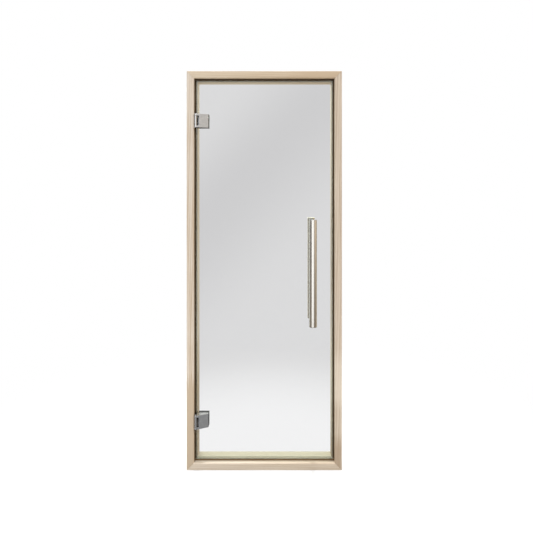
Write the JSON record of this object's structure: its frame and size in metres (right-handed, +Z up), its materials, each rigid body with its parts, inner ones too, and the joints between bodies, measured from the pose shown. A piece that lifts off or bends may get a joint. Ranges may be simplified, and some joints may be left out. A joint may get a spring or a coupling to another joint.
{
  "type": "framed glass sauna door",
  "caption": "Tall tinted glass sauna door that swings on square clamp hinges in a mitred pale timber frame, with a long round bar handle on both sides of the glass.",
  "frame": {"origin": "centre of the sill's underside, midway through the frame's depth", "axes": "+Z up along the door's height, +X from the hinge side to the strike side, +Y away from the side that the leaf opens to"},
  "size_m": [0.7, 0.1706, 1.8],
  "materials": {
    "timber": "fine sanded, unfinished, pale straight-grained hardwood",
    "glass": "light grey tinted, clear, polished edges",
    "hinge_metal": "satin chrome plate",
    "handle_metal": "fine brushed stainless steel",
    "fasteners": "plain stainless steel",
    "seal": "brown silicone rubber",
    "gasket": "black rubber sheet"
  },
  "bodies": {
    "door_frame": {"hinge_jamb": "timber", "strike_jamb": "timber", "head": "timber", "sill": "timber", "seal_hinge_side": "seal", "seal_strike_side": "seal", "seal_top": "seal", "upper_jamb_leaf": "hinge_metal", "upper_hinge_pin": "fasteners", "upper_leaf_screw_high": "fasteners", "upper_leaf_screw_low": "fasteners", "lower_jamb_leaf": "hinge_metal", "lower_hinge_pin": "fasteners", "lower_leaf_screw_high": "fasteners", "lower_leaf_screw_low": "fasteners"},
    "door_leaf": {"glass_pane": "glass", "upper_front_clamp": "hinge_metal", "upper_back_clamp": "hinge_metal", "upper_front_gasket": "gasket", "upper_back_gasket": "gasket", "upper_clamp_screw_high": "fasteners", "upper_clamp_screw_low": "fasteners", "lower_front_clamp": "hinge_metal", "lower_back_clamp": "hinge_metal", "lower_front_gasket": "gasket", "lower_back_gasket": "gasket", "lower_clamp_screw_high": "fasteners", "lower_clamp_screw_low": "fasteners", "outer_handle_tube": "handle_metal", "outer_handle_cap_top": "handle_metal", "outer_handle_cap_bottom": "handle_metal", "inner_handle_tube": "handle_metal", "inner_handle_cap_top": "handle_metal", "inner_handle_cap_bottom": "handle_metal", "outer_post_high": "handle_metal", "outer_post_low": "handle_metal", "inner_post_high": "handle_metal", "inner_post_low": "handle_metal", "outer_washer_high": "gasket", "outer_washer_low": "gasket", "inner_washer_high": "gasket", "inner_washer_low": "gasket", "handle_bolt_high": "fasteners", "handle_bolt_low": "fasteners"}
  },
  "joints": [
    {"name": "door_swing", "type": "hinge", "parent": "door_frame", "child": "door_leaf", "pos_m": [-0.308, -0.039, 0.9], "axis": [0, 0, -1], "range_deg": [0, 110]}
  ]
}
